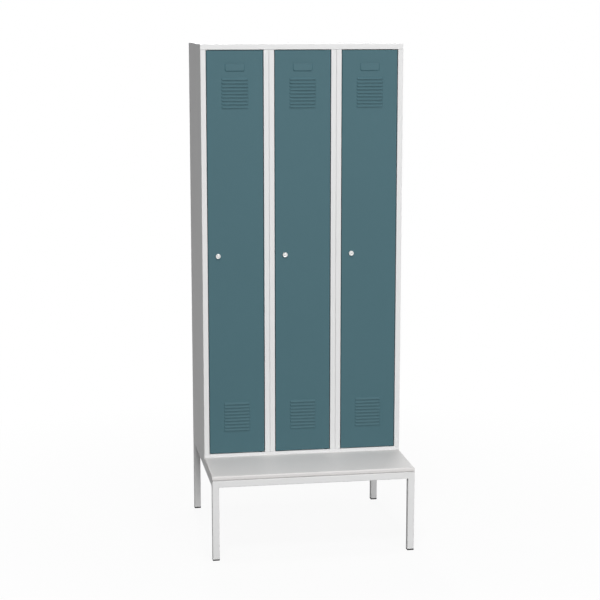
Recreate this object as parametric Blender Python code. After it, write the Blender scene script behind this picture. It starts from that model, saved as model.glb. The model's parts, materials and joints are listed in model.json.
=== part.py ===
"""Gym locker: three sheet-steel compartments on a tube frame with a bench seat in front.

Frame: +X to the right, +Y to the back, +Z up, in metres. The origin lies on the floor, in the
middle of the width and of the whole depth. Every door is hinged on its right side and locks on
its left side, as seen from the bench.
"""

import math

import bmesh
import bpy
from mathutils import Matrix, Vector

# Overall sizes
COMPARTMENTS = ("left", "middle", "right")
COMPARTMENT_WIDTH = 0.300
BODY_DEPTH = 0.500
TOTAL_HEIGHT = 2.225
SEAT_HEIGHT = 0.380
BENCH_PROJECTION = 0.310

# Gap between two pieces that touch on the real locker
SEAT_GAP = 0.0003

# Folded sheet
SHEET = 0.0008
INNER_BEND = 0.0010
BEND_STEPS = 3
TRAY_BEND_STEPS = 2
MODULE_SEAM = 0.0006

# Under-frame tubes and their plastic feet
TUBE = 0.030
TUBE_WALL = 0.0015
TUBE_CORNER = 0.003
TUBE_CORNER_STEPS = 2
FOOT_HEIGHT = 0.006
FOOT_PLUG = 0.018

# Bench board
SEAT_THICKNESS = 0.020
SEAT_EDGE_STEPS = 8

# Body front: stiles, rails and door opening
STILE = 0.0233
TOP_RAIL = 0.0235
BOTTOM_RAIL_SHOW = 0.015
RAIL_LIP_BEYOND_DOOR = 0.0025
FLOOR_LIP = 0.015
BACK_FLANGE = 0.015
DOOR_RECESS = 0.0015
STOP_CLEARANCE = 0.0010
STOP_LIP = 0.010
HINGE_FOLD = 0.009

# Doors
DOOR_GAP = 0.003
DOOR_DEPTH = 0.018
DOOR_LIP = 0.010
STIFFENER_WIDTH = 0.060
STIFFENER_DEPTH = 0.012
STIFFENER_FOOT = 0.012
STIFFENER_LOUVRE_GAP = 0.030

# Louvres, measured from the door's own edges to the lip of the middle louvre of each bank
LOUVRES_PER_BANK = 9
LOUVRE_PITCH = 0.0151
LOUVRE_LENGTH = 0.118
LOUVRE_RISE = 0.0090
LOUVRE_REACH = 0.0044
LOUVRE_END = 0.010
LOUVRE_END_SWELL = 0.4
LOUVRE_STEPS = 3
LOUVRE_INNER_STEPS = 2
LOUVRE_SLIT = 0.0006
UPPER_BANK_FROM_TOP = 0.188
LOWER_BANK_FROM_BOTTOM = 0.164

# Pressed card pocket, open at the top
POCKET_WIDTH = 0.088
POCKET_HEIGHT = 0.034
POCKET_SLOPE = 0.006
POCKET_RISE = 0.003
POCKET_FROM_TOP = 0.057

# Pivot pins of a door
PIN_RADIUS = 0.003
PIN_CLEARANCE = 0.0003
PIN_INSET = 0.015
PIN_HEAD_RADIUS = 0.0055
PIN_HEAD_HEIGHT = 0.002
PIN_BITE = 0.005
WASHER_RADIUS = 0.007

# Cam lock
LOCK_FROM_EDGE = 0.0437
LOCK_HEAD_RADIUS = 0.011
LOCK_HEAD_REACH = 0.008
LOCK_HEAD_BEVEL = 0.0015
LOCK_BODY_RADIUS = 0.009
LOCK_BODY_SETBACK = 0.0010
BARREL_RADIUS = 0.006
BARREL_PROUD = 0.0005
BARREL_TAIL_RADIUS = 0.004
KEY_SLOT_HEIGHT = 0.008
KEY_SLOT_WIDTH = 0.0016
KEY_SLOT_DEPTH = 0.010
NUT_RADIUS = 0.0135
NUT_THICKNESS = 0.004
CAM_CLEARANCE = 0.0004
CAM_THICKNESS = 0.0025
CAM_BITE = 0.0093
CAM_ROOT_RADIUS = 0.009
CAM_TIP_RADIUS = 0.006

# Inside a compartment
SHELF_BELOW_TOP = 0.300
SHELF_SETBACK = 0.060
SHELF_FLANGE = 0.020
RAIL_RADIUS = 0.0075
RAIL_WALL = 0.0010
RAIL_BELOW_SHELF = 0.045
RAIL_FLANGE_RADIUS = 0.014
RAIL_FLANGE = 0.002
HOOK_WIRE_RADIUS = 0.0022
HOOK_SHANK = 0.035
HOOK_BOWL_RADIUS = 0.012
HOOK_TIP = 0.008
HOOK_ARC_STEPS = 6

ROUND_STEPS = 24
LOCK_STEPS = 20
SMALL_ROUND_STEPS = 16
PIN_STEPS = 12

# Levels and planes worked out from the sizes above
WIDTH = COMPARTMENT_WIDTH * len(COMPARTMENTS)
TOTAL_DEPTH = BODY_DEPTH + BENCH_PROJECTION
BENCH_FRONT = -TOTAL_DEPTH / 2
BODY_BACK = TOTAL_DEPTH / 2
BODY_FRONT = BODY_BACK - BODY_DEPTH
FOLD = SHEET + INNER_BEND
FRAME_TOP = SEAT_HEIGHT - SEAT_THICKNESS - SEAT_GAP
BODY_BOTTOM = FRAME_TOP + SEAT_GAP
FLOOR_TOP = SEAT_HEIGHT + BOTTOM_RAIL_SHOW
RAIL_BOTTOM = TOTAL_HEIGHT - TOP_RAIL
INNER_BACK = BODY_BACK - SHEET - SEAT_GAP
RAIL_LIP = DOOR_RECESS + DOOR_DEPTH + RAIL_LIP_BEYOND_DOOR
STOP_PLANE = BODY_FRONT + DOOR_RECESS + DOOR_DEPTH + STOP_CLEARANCE
INSIDE_EDGE = WIDTH / 2 - SHEET - SEAT_GAP
DOOR_WIDTH = COMPARTMENT_WIDTH - 2 * STILE - 2 * DOOR_GAP
DOOR_HEIGHT = RAIL_BOTTOM - FLOOR_TOP - 2 * DOOR_GAP
DOOR_FACE = BODY_FRONT + DOOR_RECESS
HINGE_X = DOOR_WIDTH / 2 - PIN_INSET
HINGE_Y = DOOR_DEPTH / 2
LOCK_X = -DOOR_WIDTH / 2 + LOCK_FROM_EDGE
LOCK_Z = DOOR_HEIGHT / 2
CAM_FRONT = DOOR_DEPTH + STOP_CLEARANCE + SHEET + CAM_CLEARANCE
CAM_REACH = LOCK_FROM_EDGE + DOOR_GAP - STOP_LIP + CAM_BITE
LOCK_BODY_END = CAM_FRONT - LOCK_BODY_SETBACK
SHELF_TOP = TOTAL_HEIGHT - SHELF_BELOW_TOP
INSIDE_WIDTH = COMPARTMENT_WIDTH - MODULE_SEAM - 2 * SHEET - 2 * SEAT_GAP
COAT_RAIL_Y = BODY_FRONT + BODY_DEPTH / 2
COAT_RAIL_Z = SHELF_TOP - SHELF_FLANGE - RAIL_BELOW_SHELF


def clear_scene():
    for item in list(bpy.data.objects):
        bpy.data.objects.remove(item, do_unlink=True)


def finish_material(name, colour, roughness, metallic=0.0):
    material = bpy.data.materials.new(name)
    material.use_nodes = True
    shader = material.node_tree.nodes["Principled BSDF"]
    shader.inputs["Base Color"].default_value = (*colour, 1.0)
    shader.inputs["Roughness"].default_value = roughness
    shader.inputs["Metallic"].default_value = metallic
    return material


def axis_empty(name, location, parent=None):
    """Empty that marks a joint's axis and carries the pieces that move about it."""
    empty = bpy.data.objects.new(name, None)
    bpy.context.scene.collection.objects.link(empty)
    empty.parent = parent
    empty.location = location
    return empty


def place(name, mesh, material, location=(0.0, 0.0, 0.0), parent=None):
    item = bpy.data.objects.new(name, mesh)
    bpy.context.scene.collection.objects.link(item)
    if not mesh.materials:
        mesh.materials.append(material)
    item.parent = parent
    item.location = location
    return item


def to_mesh(bm, name, smooth=False):
    bmesh.ops.recalc_face_normals(bm, faces=bm.faces)
    mesh = bpy.data.meshes.new(name)
    bm.to_mesh(mesh)
    bm.free()
    if smooth:
        mesh.shade_smooth()
        mesh.set_sharp_from_angle(angle=math.radians(35.0))
    return mesh


def add_loft(bm, rings):
    """Add a closed body that joins rings of equally many points and caps both ends."""
    loops = [[bm.verts.new(point) for point in ring] for ring in rings]
    count = len(loops[0])
    bm.faces.new(list(reversed(loops[0])))
    bm.faces.new(loops[-1])
    for lower, upper in zip(loops, loops[1:]):
        for index in range(count):
            following = (index + 1) % count
            bm.faces.new((lower[index], lower[following], upper[following], upper[index]))


def loft(name, rings, smooth=False):
    bm = bmesh.new()
    add_loft(bm, rings)
    return to_mesh(bm, name, smooth)


def prism_along_z(name, outline, bottom, top):
    return loft(name, [[(x, y, level) for x, y in outline] for level in (bottom, top)])


def prism_along_x(name, outline, start, end):
    return loft(name, [[(station, y, z) for y, z in outline] for station in (start, end)])


def add_box(bm, low, high):
    outline = ((low[0], low[1]), (high[0], low[1]), (high[0], high[1]), (low[0], high[1]))
    add_loft(bm, [[(x, y, level) for x, y in outline] for level in (low[2], high[2])])


def boxes(name, corner_pairs):
    bm = bmesh.new()
    for low, high in corner_pairs:
        add_box(bm, low, high)
    return to_mesh(bm, name)


def add_round_bar(bm, radius, start, end, steps=ROUND_STEPS):
    """Add a plain cylinder between two points that differ along one axis only."""
    start = Vector(start)
    along = Vector(end) - start
    turn = along.to_track_quat("Z", "Y")
    ring = []
    for step in range(steps):
        angle = 2 * math.pi * step / steps
        ring.append(turn @ Vector((radius * math.cos(angle), radius * math.sin(angle), 0.0)))
    add_loft(bm, [[start + point for point in ring], [start + along + point for point in ring]])


def turned(name, profile, steps=ROUND_STEPS, along_y=False):
    """Turn a profile of (radius, height) points about Z, or about Y where along_y is set.

    A profile that starts and ends on the axis gives a solid piece, any other a ring.
    """
    bm = bmesh.new()
    solid = profile[0][0] == 0.0 and profile[-1][0] == 0.0
    poles = {}
    columns = []
    for step in range(steps):
        angle = 2 * math.pi * step / steps
        column = []
        for index, (radius, height) in enumerate(profile):
            if radius == 0.0:
                if index not in poles:
                    poles[index] = bm.verts.new((0.0, 0.0, height))
                column.append(poles[index])
            else:
                point = (radius * math.cos(angle), radius * math.sin(angle), height)
                column.append(bm.verts.new(point))
        columns.append(column)
    last = len(profile) - 1 if solid else len(profile)
    for step in range(steps):
        here = columns[step]
        there = columns[(step + 1) % steps]
        for index in range(last):
            following = (index + 1) % len(profile)
            corners = [here[index], there[index], there[following], here[following]]
            unique = list(dict.fromkeys(corners))
            bm.faces.new(unique)
    if along_y:
        bmesh.ops.rotate(bm, matrix=Matrix.Rotation(-math.pi / 2, 3, "X"), verts=bm.verts)
    return to_mesh(bm, name, smooth=True)


def combine(name, base, tool, operation):
    """Boolean of two meshes; both are used up and the finished mesh is returned."""
    base_object = bare_object(base)
    tool_object = bare_object(tool)
    modifier = base_object.modifiers.new(operation, "BOOLEAN")
    modifier.operation = operation
    modifier.solver = "EXACT"
    modifier.object = tool_object
    bpy.context.view_layer.update()
    evaluated = base_object.evaluated_get(bpy.context.evaluated_depsgraph_get())
    result = bpy.data.meshes.new_from_object(evaluated)
    result.name = name
    for item in (base_object, tool_object):
        bpy.data.objects.remove(item, do_unlink=True)
    return result


def bare_object(mesh):
    item = bpy.data.objects.new(mesh.name, mesh)
    bpy.context.scene.collection.objects.link(item)
    return item


def left_normal(start, end):
    along = (end - start).normalized()
    return Vector((-along.y, along.x))


def folded_outline(path):
    """Outline of a bent sheet. One face follows the path, the thickness lies on its left."""
    points = [Vector(point) for point in path]
    face = [points[0]]
    far = [points[0] + left_normal(points[0], points[1]) * SHEET]
    for before, corner, after in zip(points, points[1:], points[2:]):
        along_in = (corner - before).normalized()
        along_out = (after - corner).normalized()
        turn = math.atan2(along_in.cross(along_out), along_in.dot(along_out))
        radius = FOLD if turn > 0.0 else -INNER_BEND
        normal = left_normal(before, corner)
        run_in = abs(radius) * math.tan(abs(turn) / 2)
        centre = corner + normal * radius - along_in * run_in
        for step in range(BEND_STEPS + 1):
            spoke = Matrix.Rotation(turn * step / BEND_STEPS, 2) @ normal
            face.append(centre - spoke * radius)
            far.append(centre - spoke * (radius - SHEET))
    face.append(points[-1])
    far.append(points[-1] + left_normal(points[-2], points[-1]) * SHEET)
    return [(point.x, point.y) for point in face + far[::-1]]


def mirrored(outline):
    return [(-x, y) for x, y in reversed(outline)]


def compartment_centre(index):
    return (index + 0.5) * COMPARTMENT_WIDTH - WIDTH / 2


def rounded_square(half, corner):
    outline = []
    for quadrant in range(4):
        start = quadrant * math.pi / 2
        centre = Vector((half - corner, half - corner))
        centre.rotate(Matrix.Rotation(start, 2))
        for step in range(TUBE_CORNER_STEPS + 1):
            angle = start + math.pi / 2 * step / TUBE_CORNER_STEPS
            outline.append(centre + corner * Vector((math.cos(angle), math.sin(angle))))
    return outline


def square_tube(name, start, end):
    """Open-ended square tube with rounded corners between two points on its centre line."""
    start = Vector(start)
    along = Vector(end) - start
    turn = along.to_track_quat("Z", "Y")
    bm = bmesh.new()
    loops = []
    for half, corner in ((TUBE / 2, TUBE_CORNER), (TUBE / 2 - TUBE_WALL, TUBE_CORNER - TUBE_WALL)):
        for shift in (Vector((0.0, 0.0, 0.0)), along):
            ring = rounded_square(half, corner)
            loops.append([bm.verts.new(start + shift + turn @ point.to_3d()) for point in ring])
    outer_start, outer_end, inner_start, inner_end = loops
    count = len(outer_start)
    for first, second in (
        (outer_start, outer_end),
        (inner_end, inner_start),
        (outer_end, inner_end),
        (inner_start, outer_start),
    ):
        for index in range(count):
            following = (index + 1) % count
            bm.faces.new((first[index], first[following], second[following], second[index]))
    return to_mesh(bm, name, smooth=True)


def build_frame(steel, plastic):
    """Four legs, four rails, a cross rail under the body's front edge, and the feet."""
    leg_x = WIDTH / 2 - TUBE / 2
    leg_ys = {"front": BENCH_FRONT + TUBE / 2, "rear": BODY_BACK - TUBE / 2}
    leg_bottom = FOOT_HEIGHT + SEAT_GAP
    for end, leg_y in leg_ys.items():
        for side, sign in (("left", -1), ("right", 1)):
            foot_point = (sign * leg_x, leg_y, leg_bottom)
            head_point = (sign * leg_x, leg_y, FRAME_TOP)
            name = f"leg_{end}_{side}"
            place(name, square_tube(name, foot_point, head_point), steel)
            name = f"foot_{end}_{side}"
            place(name, foot_cap(name), plastic, (sign * leg_x, leg_y, 0.0))
    rail_z = FRAME_TOP - TUBE / 2
    reach = leg_x - TUBE / 2 - SEAT_GAP
    rails = {"front": leg_ys["front"], "rear": leg_ys["rear"], "cross": BODY_FRONT}
    for end, rail_y in rails.items():
        name = f"rail_{end}"
        tube = square_tube(name, (-reach, rail_y, rail_z), (reach, rail_y, rail_z))
        place(name, tube, steel)
    front_end = leg_ys["front"] + TUBE / 2 + SEAT_GAP
    rear_end = leg_ys["rear"] - TUBE / 2 - SEAT_GAP
    for side, sign in (("left", -1), ("right", 1)):
        name = f"rail_{side}"
        rail_x = sign * leg_x
        tube = square_tube(name, (rail_x, front_end, rail_z), (rail_x, rear_end, rail_z))
        place(name, tube, steel)


def foot_cap(name):
    """Plastic cap of a leg: a sole as wide as the tube and a plug inside it."""
    plug_half = TUBE / 2 - TUBE_WALL - SEAT_GAP
    plug_corner = TUBE_CORNER - TUBE_WALL
    plug_top = FOOT_HEIGHT + FOOT_PLUG
    sizes = (
        (TUBE / 2 - TUBE_WALL, TUBE_CORNER, 0.0),
        (TUBE / 2, TUBE_CORNER, TUBE_WALL),
        (TUBE / 2, TUBE_CORNER, FOOT_HEIGHT),
        (plug_half, plug_corner, FOOT_HEIGHT),
        (plug_half, plug_corner, plug_top - TUBE_WALL),
        (plug_half - TUBE_WALL, plug_corner, plug_top),
    )
    rings = []
    for half, corner, level in sizes:
        rings.append([(point.x, point.y, level) for point in rounded_square(half, corner)])
    return loft(name, rings)


def build_seat(board):
    """Bench board with a rounded front edge and rounded ends, square in plan."""
    radius = SEAT_THICKNESS / 2
    middle = SEAT_HEIGHT - radius
    back = BODY_FRONT - SEAT_GAP
    rings = []
    for step in range(SEAT_EDGE_STEPS + 1):
        angle = math.pi * step / SEAT_EDGE_STEPS - math.pi / 2
        inset = radius * (1.0 - math.cos(angle))
        level = middle + radius * math.sin(angle)
        side = WIDTH / 2 - inset
        front = BENCH_FRONT + inset
        corners = ((-side, front), (side, front), (side, back), (-side, back))
        rings.append([(x, y, level) for x, y in corners])
    place("seat_board", loft("seat_board", rings), board)


def wall_cutters():
    """Notches that let a wall pass the folded edges of the roof and the floor."""
    far = WIDTH
    beyond = TOTAL_HEIGHT + FOLD
    front = BODY_FRONT - FOLD
    front_fold = BODY_FRONT + FOLD + SEAT_GAP
    back_fold = INNER_BACK - FOLD - SEAT_GAP
    rail_level = RAIL_BOTTOM - SEAT_GAP
    floor_level = FLOOR_TOP + SEAT_GAP
    below = BODY_BOTTOM - FOLD
    folds = [
        ((-far, front, rail_level), (far, front_fold, beyond)),
        ((-far, front, below), (far, front_fold, floor_level)),
        ((-far, back_fold, TOTAL_HEIGHT - FOLD - SEAT_GAP), (far, BODY_BACK, beyond)),
    ]
    lip_end = BODY_FRONT + RAIL_LIP + SEAT_GAP
    flange_level = TOTAL_HEIGHT - BACK_FLANGE - SEAT_GAP
    inside = [
        ((-INSIDE_EDGE, front, rail_level), (INSIDE_EDGE, lip_end, beyond)),
        ((-INSIDE_EDGE, back_fold, flange_level), (INSIDE_EDGE, BODY_BACK, beyond)),
        ((-INSIDE_EDGE, front, below), (INSIDE_EDGE, BODY_BACK, floor_level)),
    ]
    return folds, inside


def wall_mesh(name, face_x, latch_side, stile, bottom):
    """Side wall folded from one sheet, with its back flange, front stile and door jamb."""
    jamb_end = stile + STOP_LIP if latch_side else stile - HINGE_FOLD
    path = [
        (BACK_FLANGE, INNER_BACK),
        (0.0, INNER_BACK),
        (0.0, BODY_FRONT),
        (stile, BODY_FRONT),
        (stile, STOP_PLANE),
        (jamb_end, STOP_PLANE),
    ]
    outline = folded_outline(path)
    if not latch_side:
        outline = mirrored(outline)
    outline = [(face_x + x, y) for x, y in outline]
    mesh = prism_along_z(name, outline, bottom, TOTAL_HEIGHT - SHEET - SEAT_GAP)
    for notches in wall_cutters():
        mesh = combine(name, mesh, boxes(name + "_notches", notches), "DIFFERENCE")
    return mesh


def build_walls(paint):
    last = len(COMPARTMENTS) - 1
    for index, label in enumerate(COMPARTMENTS):
        centre = compartment_centre(index)
        for latch_side in (True, False):
            outermost = index == (0 if latch_side else last)
            inset = 0.0 if outermost else MODULE_SEAM / 2
            reach = COMPARTMENT_WIDTH / 2 - inset
            face_x = centre - reach if latch_side else centre + reach
            bottom = BODY_BOTTOM if outermost else FLOOR_TOP + SEAT_GAP
            name = f"{label}_{'latch' if latch_side else 'hinge'}_wall"
            place(name, wall_mesh(name, face_x, latch_side, STILE - inset, bottom), paint)


def hinge_points():
    """World X of each door's pivot."""
    return [compartment_centre(index) + HINGE_X for index in range(len(COMPARTMENTS))]


def pin_holes(name, bottom, top):
    bm = bmesh.new()
    for pivot_x in hinge_points():
        start = (pivot_x, DOOR_FACE + HINGE_Y, bottom)
        end = (pivot_x, DOOR_FACE + HINGE_Y, top)
        add_round_bar(bm, PIN_RADIUS + PIN_CLEARANCE, start, end)
    return to_mesh(bm, name)


def build_roof(paint):
    """Roof with the top rail folded down in front, and a lip that holds the upper pins."""
    path = [
        (INNER_BACK, TOTAL_HEIGHT - BACK_FLANGE),
        (INNER_BACK, TOTAL_HEIGHT),
        (BODY_FRONT, TOTAL_HEIGHT),
        (BODY_FRONT, RAIL_BOTTOM),
        (BODY_FRONT + RAIL_LIP, RAIL_BOTTOM),
    ]
    name = "roof"
    mesh = prism_along_x(name, folded_outline(path), -WIDTH / 2, WIDTH / 2)
    trims = []
    for inner, outer in ((-WIDTH, -INSIDE_EDGE), (INSIDE_EDGE, WIDTH)):
        low = (inner, BODY_FRONT + FOLD, RAIL_BOTTOM - FOLD)
        trims.append((low, (outer, BODY_FRONT + RAIL_LIP + FOLD, RAIL_BOTTOM + FOLD)))
        low = (inner, INNER_BACK - FOLD, TOTAL_HEIGHT - BACK_FLANGE - FOLD)
        trims.append((low, (outer, BODY_BACK, TOTAL_HEIGHT - FOLD)))
    mesh = combine(name, mesh, boxes("roof_trims", trims), "DIFFERENCE")
    holes = pin_holes("roof_holes", RAIL_BOTTOM - FOLD, RAIL_BOTTOM + FOLD)
    place(name, combine(name, mesh, holes, "DIFFERENCE"), paint)


def build_floor(paint):
    """Floor with the bottom rail folded down in front; the lower pins stand in its sheet."""
    path = [
        (INNER_BACK, BODY_BOTTOM),
        (INNER_BACK, FLOOR_TOP),
        (BODY_FRONT, FLOOR_TOP),
        (BODY_FRONT, BODY_BOTTOM),
        (BODY_FRONT + FLOOR_LIP, BODY_BOTTOM),
    ]
    name = "floor"
    mesh = prism_along_x(name, folded_outline(path), -WIDTH / 2, WIDTH / 2)
    trims = []
    for inner, outer in ((-WIDTH, -INSIDE_EDGE), (INSIDE_EDGE, WIDTH)):
        low = (inner, BODY_FRONT + FOLD, BODY_BOTTOM - FOLD)
        trims.append((low, (outer, BODY_BACK, FLOOR_TOP + FOLD)))
    mesh = combine(name, mesh, boxes("floor_trims", trims), "DIFFERENCE")
    holes = pin_holes("floor_holes", FLOOR_TOP - FOLD, FLOOR_TOP + FOLD)
    place(name, combine(name, mesh, holes, "DIFFERENCE"), paint)


def build_back(paint):
    low = (-WIDTH / 2, BODY_BACK - SHEET, BODY_BOTTOM)
    high = (WIDTH / 2, BODY_BACK, TOTAL_HEIGHT)
    place("back_panel", boxes("back_panel", [(low, high)]), paint)


def tray_mesh(name, width, depth, height, lip):
    """Sheet tray: a face at y = 0, four flanges behind it and a lip round its open back."""
    bm = bmesh.new()
    add_box(bm, (-width / 2, 0.0, 0.0), (width / 2, depth, height))
    bmesh.ops.recalc_face_normals(bm, faces=bm.faces)
    back = max(bm.faces, key=lambda face: face.calc_center_median().y)
    inset = bmesh.ops.inset_region(bm, faces=[back], thickness=lip, use_even_offset=True)
    keep_rim = set(inset["faces"])
    opening = [face for face in bm.faces if face not in keep_rim and face.normal.y > 0.5]
    bmesh.ops.delete(bm, geom=opening, context="FACES_ONLY")
    sharp = [edge for edge in bm.edges if edge.is_manifold and edge.calc_face_angle() > 0.1]
    bmesh.ops.bevel(bm, geom=sharp, offset=FOLD, segments=TRAY_BEND_STEPS, profile=0.5, affect="EDGES")
    shell = bpy.data.meshes.new(name + "_face")
    bmesh.ops.recalc_face_normals(bm, faces=bm.faces)
    bm.to_mesh(shell)
    bm.free()
    item = bare_object(shell)
    thicken = item.modifiers.new("thickness", "SOLIDIFY")
    thicken.thickness = SHEET
    thicken.offset = -1.0
    thicken.use_even_offset = True
    evaluated = item.evaluated_get(bpy.context.evaluated_depsgraph_get())
    mesh = bpy.data.meshes.new_from_object(evaluated)
    bpy.data.objects.remove(item, do_unlink=True)
    return mesh


def bank_levels():
    """Height above the door's lower edge of every louvre lip."""
    levels = []
    for middle in (LOWER_BANK_FROM_BOTTOM, DOOR_HEIGHT - UPPER_BANK_FROM_TOP):
        first = middle - (LOUVRES_PER_BANK - 1) / 2 * LOUVRE_PITCH
        levels.extend(first + index * LOUVRE_PITCH for index in range(LOUVRES_PER_BANK))
    return levels


def add_hood(bm, lip, length, reach, rise, back, sill, arc_steps):
    """Add one louvre hood: it swells out of the sheet towards its lip and tapers at both ends."""
    half = length / 2
    stations = ((half, LOUVRE_END_SWELL), (half - LOUVRE_END, 1.0))
    sections = [(-x, swell) for x, swell in stations]
    sections.extend((x, swell) for x, swell in reversed(stations))
    rings = []
    for x, swell in sections:
        ring = [(x, back, lip - sill), (x, -reach * swell, lip - sill)]
        for step in range(1, arc_steps):
            angle = math.pi / 2 * step / arc_steps
            out = -reach * swell * math.cos(angle)
            up = rise * swell * math.sin(angle)
            ring.append((x, out, lip + up))
        ring.append((x, back, lip + rise * swell))
        rings.append(ring)
    add_loft(bm, rings)


def pocket_ring(half, low, high, y):
    return [(-half, y, low), (half, y, low), (half, y, high), (-half, y, high)]


def door_pressings():
    """What stands out of a door's face: the louvre hoods and the card pocket."""
    bm = bmesh.new()
    for level in bank_levels():
        add_hood(bm, level, LOUVRE_LENGTH, LOUVRE_REACH, LOUVRE_RISE, SHEET / 2, 0.0, LOUVRE_STEPS)
    top = DOOR_HEIGHT - POCKET_FROM_TOP
    bottom = top - POCKET_HEIGHT
    half = POCKET_WIDTH / 2
    rings = [
        pocket_ring(half, bottom, top, SHEET / 2),
        pocket_ring(half - POCKET_SLOPE, bottom + POCKET_SLOPE, top, -POCKET_RISE),
    ]
    add_loft(bm, rings)
    return to_mesh(bm, "door_pressings")


def door_holes():
    """What is open in a door: louvre slits, the mouth of the pocket, lock and pin holes."""
    bm = bmesh.new()
    through = 2 * SHEET
    for level in bank_levels():
        add_hood(
            bm,
            level,
            LOUVRE_LENGTH - 2 * SHEET,
            LOUVRE_REACH - SHEET,
            LOUVRE_RISE - SHEET,
            through,
            LOUVRE_SLIT,
            LOUVRE_INNER_STEPS,
        )
    top = DOOR_HEIGHT - POCKET_FROM_TOP + LOUVRE_SLIT
    bottom = DOOR_HEIGHT - POCKET_FROM_TOP - POCKET_HEIGHT + SHEET
    half = POCKET_WIDTH / 2 - SHEET
    slope = POCKET_SLOPE - SHEET / 2
    rings = [
        pocket_ring(half, bottom, top, through),
        pocket_ring(half, bottom, top, 0.0),
        pocket_ring(half - slope, bottom + slope, top, SHEET - POCKET_RISE),
    ]
    add_loft(bm, rings)
    lock_hole = LOCK_BODY_RADIUS + SEAT_GAP
    add_round_bar(bm, lock_hole, (LOCK_X, -through, LOCK_Z), (LOCK_X, through, LOCK_Z))
    hole = PIN_RADIUS + PIN_CLEARANCE
    for low, high in ((-through, through), (DOOR_HEIGHT - through, DOOR_HEIGHT + through)):
        add_round_bar(bm, hole, (HINGE_X, HINGE_Y, low), (HINGE_X, HINGE_Y, high))
    return to_mesh(bm, "door_holes")


def door_mesh():
    mesh = tray_mesh("door", DOOR_WIDTH, DOOR_DEPTH, DOOR_HEIGHT, DOOR_LIP)
    mesh = combine("door", mesh, door_pressings(), "UNION")
    return combine("door", mesh, door_holes(), "DIFFERENCE")


def stiffener_mesh():
    """Hat-section stiffener between the two louvre banks, on the back of the door's face."""
    face = SHEET + SEAT_GAP
    crown = face + STIFFENER_DEPTH
    half = STIFFENER_WIDTH / 2
    path = [
        (-half - STIFFENER_FOOT, face),
        (-half, face),
        (-half, crown),
        (half, crown),
        (half, face),
        (half + STIFFENER_FOOT, face),
    ]
    levels = bank_levels()
    bottom = levels[LOUVRES_PER_BANK - 1] + LOUVRE_RISE + STIFFENER_LOUVRE_GAP
    top = levels[LOUVRES_PER_BANK] - STIFFENER_LOUVRE_GAP
    return prism_along_z("door_stiffener", folded_outline(path), bottom, top)


def housing_mesh():
    """Lock housing, turned about Y: a bevelled head in front of the door and a body behind it."""
    bore = BARREL_RADIUS + SEAT_GAP
    profile = [
        (bore, -LOCK_HEAD_REACH),
        (LOCK_HEAD_RADIUS - LOCK_HEAD_BEVEL, -LOCK_HEAD_REACH),
        (LOCK_HEAD_RADIUS, -LOCK_HEAD_REACH + LOCK_HEAD_BEVEL),
        (LOCK_HEAD_RADIUS, -SEAT_GAP),
        (LOCK_BODY_RADIUS, -SEAT_GAP),
        (LOCK_BODY_RADIUS, LOCK_BODY_END),
        (bore, LOCK_BODY_END),
    ]
    return turned("lock_housing", profile, steps=LOCK_STEPS, along_y=True)


def barrel_mesh():
    """Lock barrel with its key slot upright in front and the tail that carries the cam."""
    front = -LOCK_HEAD_REACH - BARREL_PROUD
    shoulder = CAM_FRONT - SEAT_GAP
    end = CAM_FRONT + CAM_THICKNESS + SEAT_GAP
    profile = [
        (0.0, front),
        (BARREL_RADIUS, front),
        (BARREL_RADIUS, shoulder),
        (BARREL_TAIL_RADIUS, shoulder),
        (BARREL_TAIL_RADIUS, end),
        (0.0, end),
    ]
    mesh = turned("lock_barrel", profile, steps=SMALL_ROUND_STEPS, along_y=True)
    low = (-KEY_SLOT_WIDTH / 2, front - KEY_SLOT_WIDTH, -KEY_SLOT_HEIGHT / 2)
    high = (KEY_SLOT_WIDTH / 2, front + KEY_SLOT_DEPTH, KEY_SLOT_HEIGHT / 2)
    return combine("lock_barrel", mesh, boxes("key_slot", [(low, high)]), "DIFFERENCE")


def nut_mesh():
    front = SHEET + SEAT_GAP
    bm = bmesh.new()
    add_round_bar(bm, NUT_RADIUS, (0.0, front, 0.0), (0.0, front + NUT_THICKNESS, 0.0), steps=6)
    nut = to_mesh(bm, "lock_nut")
    bm = bmesh.new()
    hole = LOCK_BODY_RADIUS + SEAT_GAP
    add_round_bar(bm, hole, (0.0, 0.0, 0.0), (0.0, front + 2 * NUT_THICKNESS, 0.0))
    return combine("lock_nut", nut, to_mesh(bm, "nut_hole"), "DIFFERENCE")


def cam_outline():
    """Outline of the cam, pointing down: a round root, straight flanks and a round tip."""
    tip_centre = CAM_REACH - CAM_TIP_RADIUS
    lean = math.asin((CAM_ROOT_RADIUS - CAM_TIP_RADIUS) / tip_centre)
    outline = []
    steps = SMALL_ROUND_STEPS // 2
    for step in range(steps + 1):
        angle = -lean + (math.pi + 2 * lean) * step / steps
        outline.append((CAM_ROOT_RADIUS * math.cos(angle), CAM_ROOT_RADIUS * math.sin(angle)))
    for step in range(steps + 1):
        angle = math.pi + lean + (math.pi - 2 * lean) * step / steps
        x = CAM_TIP_RADIUS * math.cos(angle)
        outline.append((x, -tip_centre + CAM_TIP_RADIUS * math.sin(angle)))
    return outline


def cam_mesh():
    back = CAM_FRONT + CAM_THICKNESS
    plate = loft("lock_cam", [[(x, y, z) for x, z in cam_outline()] for y in (CAM_FRONT, back)])
    bm = bmesh.new()
    hole = BARREL_TAIL_RADIUS + SEAT_GAP
    start = (0.0, CAM_FRONT - CAM_THICKNESS, 0.0)
    end = (0.0, back + CAM_THICKNESS, 0.0)
    add_round_bar(bm, hole, start, end, steps=SMALL_ROUND_STEPS)
    return combine("lock_cam", plate, to_mesh(bm, "cam_hole"), "DIFFERENCE")


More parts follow.
